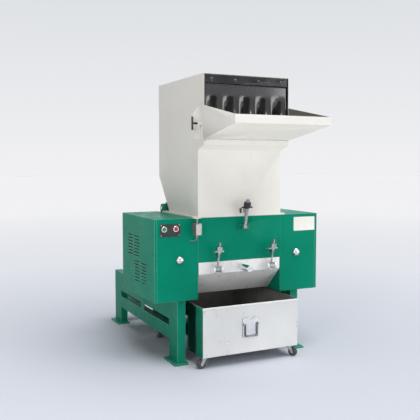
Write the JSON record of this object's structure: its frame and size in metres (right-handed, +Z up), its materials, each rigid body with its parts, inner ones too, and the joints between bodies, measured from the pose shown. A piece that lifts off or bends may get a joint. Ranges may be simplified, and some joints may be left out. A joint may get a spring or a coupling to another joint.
{
  "type": "plastic granulator",
  "caption": "Plastic granulator with a tall feed hopper, folding feed tray, knife rotor between side housings, swing-down screen cradle and a wheeled granule bin.",
  "frame": {"origin": "on the floor below the middle of the machine's bounding box", "axes": "+X to the machine's right, +Y to its back, +Z up; the feed tray and the bin's handle face -Y"},
  "size_m": [1.18, 1.838, 1.8],
  "materials": {
    "green_paint": "semi-gloss green paint over welded steel",
    "cream_paint": "semi-gloss cream-white paint over folded sheet",
    "stainless": "stainless sheet, brushed to polished",
    "bright_steel": "zinc plated or ground steel",
    "dark_steel": "dark oxidised steel",
    "cast_iron": "dull grey casting",
    "chrome": "mirror-bright plating",
    "rubber": "dull black rubber",
    "tyre": "dark grey solid tread",
    "motor_paint": "blue-grey machine paint",
    "cast_grey": "die-cast switch body",
    "dark_plastic": "dark face plate over a moulded box",
    "green_plastic": "green push button cap",
    "red_plastic": "red push button cap"
  },
  "bodies": {
    "machine": {"frame_side_left": "green_paint", "frame_side_right": "green_paint", "frame_cross_members": "green_paint", "left_housing": "green_paint", "right_housing": "green_paint", "front_covers": "green_paint", "front_panel": "green_paint", "belt_guard": "green_paint", "control_box": "dark_plastic", "limit_switch": "cast_grey", "rating_plate": "stainless", "chamber_side_left": "green_paint", "chamber_side_right": "green_paint", "chamber_front": "green_paint", "chamber_rear": "green_paint", "bed_knives": "bright_steel", "rotor_bearings": "cast_iron", "drive_belts": "rubber", "motor_body": "motor_paint", "motor_covers": "motor_paint", "motor_base": "green_paint", "hinge_pins": "bright_steel"},
    "start_cap": {"start_button": "green_plastic"},
    "stop_cap": {"stop_button": "red_plastic"},
    "switch_plunger": {"limit_switch_plunger": "bright_steel"},
    "knob_left": {"housing_knob_left": "chrome"},
    "knob_right": {"housing_knob_right": "chrome"},
    "rotor": {"rotor_shaft": "bright_steel", "rotor_core": "dark_steel", "rotor_knives": "bright_steel", "rotor_pulley": "cast_iron", "flywheel": "cast_iron"},
    "motor_rotor": {"motor_shaft": "bright_steel", "motor_pulley": "cast_iron"},
    "cradle": {"screen": "bright_steel", "screen_cradle": "green_paint", "cradle_front_plate": "stainless", "cradle_handle": "stainless"},
    "screen_bolt_left": {"screen_swing_bolt_left": "bright_steel"},
    "screen_bolt_right": {"screen_swing_bolt_right": "bright_steel"},
    "screen_nut_left": {"screen_t_nut_left": "bright_steel"},
    "screen_nut_right": {"screen_t_nut_right": "bright_steel"},
    "hopper_bolt": {"hopper_swing_bolt": "bright_steel"},
    "hopper_nut": {"hopper_t_nut": "dark_steel"},
    "hopper": {"hopper_shell": "cream_paint", "curtain_clamp": "dark_steel"},
    "tray": {"feed_tray": "cream_paint"},
    "tray_screw_left": {"tray_clamp_screw_left": "dark_steel"},
    "tray_screw_right": {"tray_clamp_screw_right": "dark_steel"},
    "curtain": {"feed_curtain": "rubber"},
    "bin": {"bin_tub": "stainless", "bin_handle_plate": "chrome", "rear_caster_forks": "bright_steel"},
    "bail": {"bin_bail": "chrome"},
    "caster_left": {"front_caster_fork_left": "bright_steel"},
    "caster_right": {"front_caster_fork_right": "bright_steel"},
    "wheel_front_left": {"caster_wheel_front_left": "tyre"},
    "wheel_front_right": {"caster_wheel_front_right": "tyre"},
    "wheel_rear_left": {"caster_wheel_rear_left": "tyre"},
    "wheel_rear_right": {"caster_wheel_rear_right": "tyre"}
  },
  "joints": [
    {"name": "rotor_spin", "type": "hinge", "parent": "machine", "child": "rotor", "pos_m": [0, -0.136, 0.735], "axis": [1, 0, 0], "continuous": true},
    {"name": "motor_spin", "type": "hinge", "parent": "machine", "child": "motor_rotor", "pos_m": [0, 0.499, 0.6], "axis": [1, 0, 0], "continuous": true},
    {"name": "hopper_tilt", "type": "hinge", "parent": "machine", "child": "hopper", "pos_m": [0, 0.149, 0.948], "axis": [-1, 0, 0], "range_deg": [0, 80]},
    {"name": "tray_fold", "type": "hinge", "parent": "hopper", "child": "tray", "pos_m": [0, -0.497, 1.399], "axis": [-1, 0, 0], "range_deg": [0, 76]},
    {"name": "tray_screw_turn_left", "type": "hinge", "parent": "tray", "child": "tray_screw_left", "pos_m": [-0.33, -0.456, 1.499], "axis": [1, 0, 0], "continuous": true},
    {"name": "tray_screw_turn_right", "type": "hinge", "parent": "tray", "child": "tray_screw_right", "pos_m": [0.33, -0.456, 1.499], "axis": [1, 0, 0], "continuous": true},
    {"name": "curtain_swing", "type": "hinge", "parent": "hopper", "child": "curtain", "pos_m": [0, -0.473, 1.7437], "axis": [1, 0, 0], "range_deg": [0, 60]},
    {"name": "hopper_bolt_swing", "type": "hinge", "parent": "machine", "child": "hopper_bolt", "pos_m": [0.0175, -0.429, 0.85], "axis": [1, 0, 0], "range_deg": [0, 150]},
    {"name": "hopper_nut_turn", "type": "hinge", "parent": "hopper_bolt", "child": "hopper_nut", "pos_m": [0.0175, -0.45493, 0.972], "axis": [0, -0.2079, 0.9781], "continuous": true},
    {"name": "cradle_swing", "type": "hinge", "parent": "machine", "child": "cradle", "pos_m": [0, 0.079, 0.6], "axis": [1, 0, 0], "range_deg": [0, 18]},
    {"name": "screen_bolt_swing_left", "type": "hinge", "parent": "cradle", "child": "screen_bolt_left", "pos_m": [-0.178, -0.429, 0.588], "axis": [1, 0, 0], "range_deg": [0, 165]},
    {"name": "screen_bolt_swing_right", "type": "hinge", "parent": "cradle", "child": "screen_bolt_right", "pos_m": [0.213, -0.429, 0.588], "axis": [1, 0, 0], "range_deg": [0, 165]},
    {"name": "screen_nut_turn_left", "type": "hinge", "parent": "screen_bolt_left", "child": "screen_nut_left", "pos_m": [-0.178, -0.45281, 0.7], "axis": [0, -0.2079, 0.9781], "continuous": true},
    {"name": "screen_nut_turn_right", "type": "hinge", "parent": "screen_bolt_right", "child": "screen_nut_right", "pos_m": [0.213, -0.45281, 0.7], "axis": [0, -0.2079, 0.9781], "continuous": true},
    {"name": "knob_turn_left", "type": "hinge", "parent": "machine", "child": "knob_left", "pos_m": [-0.424, -0.411, 0.662], "axis": [0, 1, 0], "continuous": true},
    {"name": "knob_turn_right", "type": "hinge", "parent": "machine", "child": "knob_right", "pos_m": [0.424, -0.411, 0.662], "axis": [0, 1, 0], "continuous": true},
    {"name": "start_press", "type": "slide", "parent": "machine", "child": "start_cap", "axis": [0, 1, 0], "range_m": [0, 0.004], "stiffness_N_per_m": 1500},
    {"name": "stop_press", "type": "slide", "parent": "machine", "child": "stop_cap", "axis": [0, 1, 0], "range_m": [0, 0.004], "stiffness_N_per_m": 1500},
    {"name": "switch_press", "type": "slide", "parent": "machine", "child": "switch_plunger", "axis": [0, 0, 1], "range_m": [-0.004, 0], "stiffness_N_per_m": 1500},
    {"name": "bin_slide", "type": "slide", "parent": "machine", "child": "bin", "axis": [0, -1, 0], "range_m": [-0.147, 0.72]},
    {"name": "bail_lift", "type": "hinge", "parent": "bin", "child": "bail", "pos_m": [-0.01, -0.568, 0.257], "axis": [-1, 0, 0], "range_deg": [0, 90]},
    {"name": "caster_swivel_left", "type": "hinge", "parent": "bin", "child": "caster_left", "pos_m": [-0.31, -0.513, 0.068], "axis": [0, 0, 1], "continuous": true},
    {"name": "caster_swivel_right", "type": "hinge", "parent": "bin", "child": "caster_right", "pos_m": [0.31, -0.513, 0.068], "axis": [0, 0, 1], "continuous": true},
    {"name": "wheel_roll_front_left", "type": "hinge", "parent": "caster_left", "child": "wheel_front_left", "pos_m": [-0.332, -0.513, 0.029], "axis": [0, -1, 0], "continuous": true},
    {"name": "wheel_roll_front_right", "type": "hinge", "parent": "caster_right", "child": "wheel_front_right", "pos_m": [0.321, -0.53205, 0.029], "axis": [0.866, 0.5, 0], "continuous": true},
    {"name": "wheel_roll_rear_left", "type": "hinge", "parent": "bin", "child": "wheel_rear_left", "pos_m": [-0.31, 0.251, 0.029], "axis": [-1, 0, 0], "continuous": true},
    {"name": "wheel_roll_rear_right", "type": "hinge", "parent": "bin", "child": "wheel_rear_right", "pos_m": [0.31, 0.251, 0.029], "axis": [-1, 0, 0], "continuous": true}
  ],
  "couplings": [
    {"joint": "motor_spin", "follows": "rotor_spin", "ratio": 2.5385}
  ]
}
